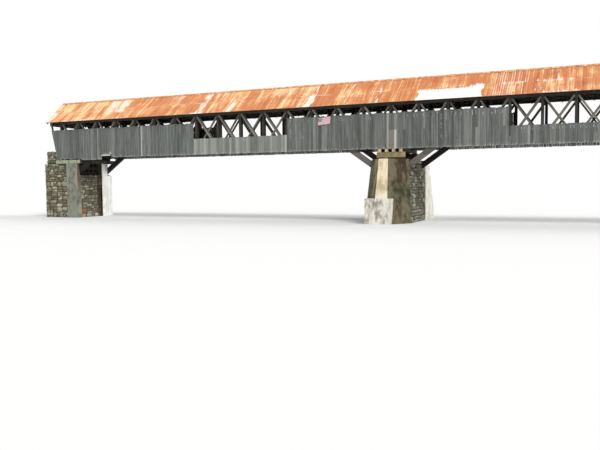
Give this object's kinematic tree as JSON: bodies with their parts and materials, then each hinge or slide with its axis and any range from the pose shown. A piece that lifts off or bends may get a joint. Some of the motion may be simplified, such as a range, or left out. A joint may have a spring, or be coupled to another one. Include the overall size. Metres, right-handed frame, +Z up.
{
  "type": "covered timber bridge, scale model at 1:10",
  "caption": "Long weathered covered bridge with truss sides, plank floor, rusty ribbed gable roof, stone abutments and a battered mid-river pier; scale model at 1:10.",
  "frame": {"origin": "middle of the pier in plan, on the level base that the pier and both abutments stand on", "axes": "+X along the road, towards the end on the right of the picture; +Y across the road, away from the camera; +Z up"},
  "size_m": [9.48, 1.294, 1.5362],
  "materials": {
    "weathered_boards": "bare boards weathered to silver grey",
    "old_timber": "rough sawn timber darkened by age",
    "grey_timber": "rough sawn timber weathered grey",
    "pale_timber": "newer squared timber, unpainted",
    "roof_sheet": "ribbed steel sheet, orange rust with galvanised patches",
    "rubble_stone": "rough mortared fieldstone with moss",
    "dressed_concrete": "old board-marked concrete, stained",
    "flag_cloth": "thin faded striped cloth"
  },
  "bodies": {
    "root": {"deck_planks": "old_timber", "far_bottom_chord": "old_timber", "far_braces": "grey_timber", "far_girts": "old_timber", "far_lower_siding": "weathered_boards", "far_posts": "old_timber", "far_rafters": "old_timber", "far_roof": "roof_sheet", "far_struts": "grey_timber", "far_top_chord": "old_timber", "far_upper_siding_left": "weathered_boards", "far_upper_siding_middle": "weathered_boards", "far_upper_siding_right": "weathered_boards", "flag": "flag_cloth", "floor_beams": "old_timber", "knee_braces": "old_timber", "left_abutment": "rubble_stone", "left_bearing_slab": "dressed_concrete", "left_bed_timbers": "old_timber", "left_corner_columns": "dressed_concrete", "left_crib": "old_timber", "left_gable": "weathered_boards", "left_portal_posts": "old_timber", "lower_laterals": "old_timber", "near_bottom_chord": "old_timber", "near_braces": "grey_timber", "near_girts": "old_timber", "near_lower_siding": "weathered_boards", "near_posts": "old_timber", "near_rafters": "old_timber", "near_roof": "roof_sheet", "near_struts": "grey_timber", "near_top_chord": "old_timber", "near_upper_siding_left": "weathered_boards", "near_upper_siding_middle": "weathered_boards", "near_upper_siding_right": "weathered_boards", "pier_bed_timbers": "old_timber", "pier_bolsters": "pale_timber", "pier_corbels": "grey_timber", "pier_core": "rubble_stone", "pier_downstream_end": "dressed_concrete", "pier_footing": "dressed_concrete", "pier_needle_beams": "pale_timber", "pier_upstream_nose": "dressed_concrete", "ridge_cap": "roof_sheet", "right_abutment": "rubble_stone", "right_bearing_slab": "dressed_concrete", "right_bed_timbers": "old_timber", "right_corner_columns": "dressed_concrete", "right_crib": "old_timber", "right_gable": "weathered_boards", "right_portal_posts": "old_timber", "tie_beams": "old_timber", "upper_laterals": "old_timber", "wall_plates": "old_timber"}
  },
  "joints": []
}
